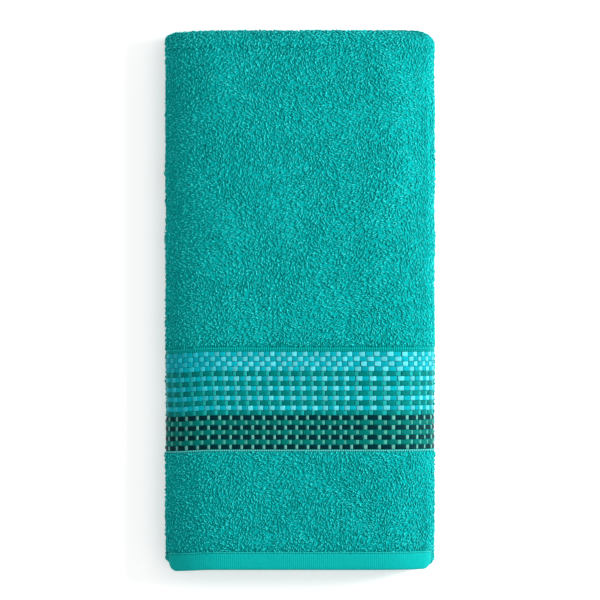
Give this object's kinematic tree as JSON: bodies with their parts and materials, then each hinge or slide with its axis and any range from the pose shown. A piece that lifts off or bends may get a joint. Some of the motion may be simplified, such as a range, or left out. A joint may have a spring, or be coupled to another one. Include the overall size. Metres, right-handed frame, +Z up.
{
  "type": "folded bath towel",
  "caption": "Terry bath towel with a checked dobby band and flat hems, folded in thirds both ways, opening along its crosswise folds.",
  "frame": {"origin": "on the surface the towel lies on, below the middle of the folded towel", "axes": "+X to the right across the folded towel, +Y from the visible hem to the upper fold, +Z up out of the pile of layers"},
  "size_m": [0.234, 0.467, 0.0447],
  "materials": {
    "terry": "looped cotton terry pile, matt",
    "checked_band": "flat dobby weave with glossy floats in small blocks",
    "header_weave": "plain woven header, low sheen",
    "hem_weave": "ribbed flat weave, matt",
    "thread": "polyester sewing thread, satin"
  },
  "bodies": {
    "back_panel": {"back_hem": "hem_weave", "back_hem_stitching": "thread", "back_terry_strip": "terry", "back_band_border": "header_weave", "back_band": "checked_band", "back_band_header": "header_weave", "back_terry_field": "terry", "back_outer_side_hem": "hem_weave", "back_outer_side_stitching": "thread", "back_inner_side_hem": "hem_weave", "back_inner_side_stitching": "thread", "bottom_fold_terry": "terry", "bottom_fold_outer_side_hem": "hem_weave", "bottom_fold_outer_side_stitching": "thread", "bottom_fold_inner_side_hem": "hem_weave", "bottom_fold_inner_side_stitching": "thread"},
    "middle_panel": {"middle_terry_field": "terry", "middle_outer_side_hem": "hem_weave", "middle_outer_side_stitching": "thread", "middle_inner_side_hem": "hem_weave", "middle_inner_side_stitching": "thread", "top_fold_terry": "terry", "top_fold_outer_side_hem": "hem_weave", "top_fold_outer_side_stitching": "thread", "top_fold_inner_side_hem": "hem_weave", "top_fold_inner_side_stitching": "thread"},
    "front_panel": {"front_hem": "hem_weave", "front_hem_stitching": "thread", "front_terry_strip": "terry", "front_band_border": "header_weave", "front_band": "checked_band", "front_band_header": "header_weave", "front_terry_field": "terry", "front_outer_side_hem": "hem_weave", "front_outer_side_stitching": "thread", "front_inner_side_hem": "hem_weave", "front_inner_side_stitching": "thread"}
  },
  "joints": [
    {"name": "bottom_fold", "type": "hinge", "parent": "back_panel", "child": "middle_panel", "pos_m": [0, -0.21865, 0.01485], "axis": [1, 0, 0], "range_deg": [0, 180], "deforming": ["bottom_fold_terry", "bottom_fold_outer_side_hem", "bottom_fold_outer_side_stitching", "bottom_fold_inner_side_hem", "bottom_fold_inner_side_stitching"]},
    {"name": "top_fold", "type": "hinge", "parent": "middle_panel", "child": "front_panel", "pos_m": [0, 0.21865, 0.02985], "axis": [-1, 0, 0], "range_deg": [0, 180], "deforming": ["top_fold_terry", "top_fold_outer_side_hem", "top_fold_outer_side_stitching", "top_fold_inner_side_hem", "top_fold_inner_side_stitching"]}
  ]
}
